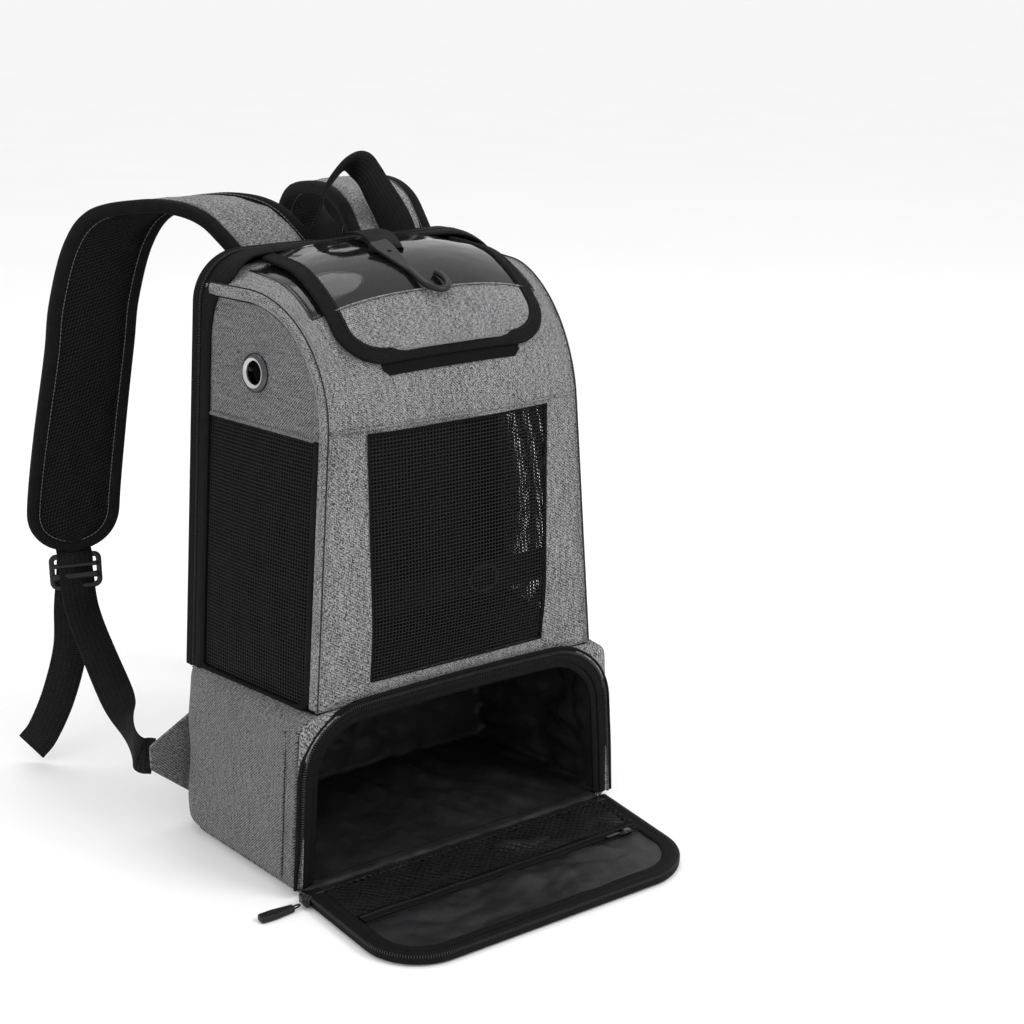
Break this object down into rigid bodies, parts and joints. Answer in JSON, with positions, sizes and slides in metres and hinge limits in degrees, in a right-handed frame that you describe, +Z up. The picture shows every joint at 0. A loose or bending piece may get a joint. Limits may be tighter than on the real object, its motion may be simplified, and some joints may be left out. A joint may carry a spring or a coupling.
{
  "type": "medical device backpack",
  "caption": "Upright grey backpack for a portable oxygen concentrator, with mesh windows, hose outlets, clear top flap and an open zipped base door.",
  "frame": {"origin": "on the ground under the middle of the base", "axes": "+Z up, +X to the right of someone facing the front, -Y out of the front"},
  "size_m": [0.4257, 0.5546, 0.525],
  "materials": {
    "grey_fabric": "two-tone heather weave",
    "black_fabric": "plain woven nylon",
    "black_mesh": "open square net",
    "air_mesh": "spacer mesh",
    "strap_fabric": "heather weave with black binding and mesh backing",
    "clear_film": "clear glossy film",
    "nickel": "polished nickel",
    "touch_fastener": "hook and loop tape",
    "zip_tape": "zip tape with coil",
    "webbing": "ribbed webbing",
    "black_plastic": "fine moulded texture",
    "black_metal": "black enamel",
    "pull_rubber": "moulded pull"
  },
  "bodies": {
    "bag": {"base_floor": "grey_fabric", "base_side_left": "grey_fabric", "base_side_right": "grey_fabric", "base_rear_wall": "grey_fabric", "divider_shelf": "grey_fabric", "base_front_frame": "grey_fabric", "base_lining": "black_fabric", "base_zip_track": "zip_tape", "side_panel_left": "grey_fabric", "side_panel_right": "grey_fabric", "side_mesh_left": "black_mesh", "side_mesh_right": "black_mesh", "front_panel": "grey_fabric", "front_mesh": "black_mesh", "top_film": "clear_film", "piping_left": "grey_fabric", "piping_right": "grey_fabric", "eyelet_left": "nickel", "eyelet_right": "nickel", "flap_loop_patch": "touch_fastener", "main_zip_shell_tape": "zip_tape", "main_zip_coil": "zip_tape", "corner_tab_left": "grey_fabric", "corner_tab_right": "grey_fabric", "inner_strap": "webbing"},
    "back": {"back_panel": "black_fabric", "back_board": "black_plastic", "main_zip_panel_tape": "zip_tape", "back_cushion_left": "air_mesh", "back_cushion_right": "air_mesh", "lumbar_cushion": "air_mesh", "strap_anchor": "webbing"},
    "handle": {"carry_handle": "webbing"},
    "strap_left": {"strap_pad_left": "strap_fabric", "lock_loop_left": "webbing", "ladder_lock_left": "black_plastic", "web_tail_left": "webbing"},
    "strap_right": {"strap_pad_right": "strap_fabric", "lock_loop_right": "webbing", "ladder_lock_right": "black_plastic", "web_tail_right": "webbing"},
    "webbing_left": {"web_leg_left": "webbing"},
    "webbing_right": {"web_leg_right": "webbing"},
    "flap": {"flap_panel": "grey_fabric", "flap_window": "clear_film", "flap_binding": "black_fabric", "flap_hook_patch": "touch_fastener"},
    "hook_strap": {"hook_strap": "webbing"},
    "hook": {"hook": "black_plastic"},
    "door": {"door_panel": "grey_fabric", "door_zip_rim": "zip_tape", "door_lining": "black_fabric", "door_pocket": "black_mesh"},
    "door_slider": {"door_slider": "black_metal"},
    "door_pull": {"door_pull": "pull_rubber"},
    "pocket_slider": {"pocket_slider": "black_metal"},
    "main_slider": {"main_slider": "black_metal"},
    "main_pull": {"main_pull": "pull_rubber"}
  },
  "joints": [
    {"name": "door_fold", "type": "hinge", "parent": "bag", "child": "door", "pos_m": [0, -0.0885, 0.006], "axis": [-1, 0, 0], "range_deg": [0, 90]},
    {"name": "back_opening", "type": "hinge", "parent": "bag", "child": "back", "pos_m": [0, 0.083, 0.143], "axis": [-1, 0, 0], "range_deg": [0, 40]},
    {"name": "handle_lean", "type": "hinge", "parent": "back", "child": "handle", "pos_m": [0.027, 0.0873, 0.4525], "axis": [-1, 0, 0], "range_deg": [0, 14], "stiffness_Nm_per_rad": 0.4},
    {"name": "strap_left_top", "type": "hinge", "parent": "back", "child": "strap_left", "pos_m": [-0.0647, 0.0977, 0.472], "axis": [-1, 0, 0], "range_deg": [-12, 1]},
    {"name": "strap_right_top", "type": "hinge", "parent": "back", "child": "strap_right", "pos_m": [0.055, 0.103, 0.472], "axis": [-1, 0, 0], "range_deg": [-12, 1]},
    {"name": "webbing_left_foot", "type": "hinge", "parent": "bag", "child": "webbing_left", "pos_m": [-0.191, 0.106, 0.063], "axis": [-1, 0, 0], "range_deg": [-1, 50]},
    {"name": "webbing_right_foot", "type": "hinge", "parent": "bag", "child": "webbing_right", "pos_m": [0.191, 0.106, 0.063], "axis": [-1, 0, 0], "range_deg": [-1, 50]},
    {"name": "flap_opening", "type": "hinge", "parent": "bag", "child": "flap", "pos_m": [0, 0.0575, 0.46], "axis": [-1, 0, 0], "range_deg": [0, 70]},
    {"name": "hook_strap_lift", "type": "hinge", "parent": "flap", "child": "hook_strap", "pos_m": [0.002, 0.0575, 0.463], "axis": [-1, 0, 0], "range_deg": [0, 35]},
    {"name": "hook_swing", "type": "hinge", "parent": "hook_strap", "child": "hook", "pos_m": [0.002, 0.001, 0.466], "axis": [-1, 0, 0], "range_deg": [0, 60]},
    {"name": "door_slider_run", "type": "slide", "parent": "door", "child": "door_slider", "axis": [0, -1, 0], "range_m": [0, 0.07]},
    {"name": "door_pull_swing", "type": "hinge", "parent": "door_slider", "child": "door_pull", "pos_m": [-0.1575, -0.0965, 0.003], "axis": [0, 1, 0], "range_deg": [0, 90]},
    {"name": "pocket_slider_run", "type": "slide", "parent": "door", "child": "pocket_slider", "axis": [-1, 0, 0], "range_m": [0, 0.2]},
    {"name": "main_slider_run", "type": "slide", "parent": "bag", "child": "main_slider", "axis": [-0.0771, 0, 0.997], "range_m": [0, 0.16]},
    {"name": "main_pull_swing", "type": "hinge", "parent": "main_slider", "child": "main_pull", "pos_m": [0.15074, 0.0715, 0.23654], "axis": [0, -1, 0], "range_deg": [0, 150]}
  ],
  "couplings": [
    {"joint": "strap_left_top", "follows": "back_opening", "ratio": -0.251},
    {"joint": "strap_right_top", "follows": "back_opening", "ratio": -0.227},
    {"joint": "webbing_left_foot", "follows": "back_opening", "ratio": 1.106},
    {"joint": "webbing_right_foot", "follows": "back_opening", "ratio": 1.027}
  ]
}
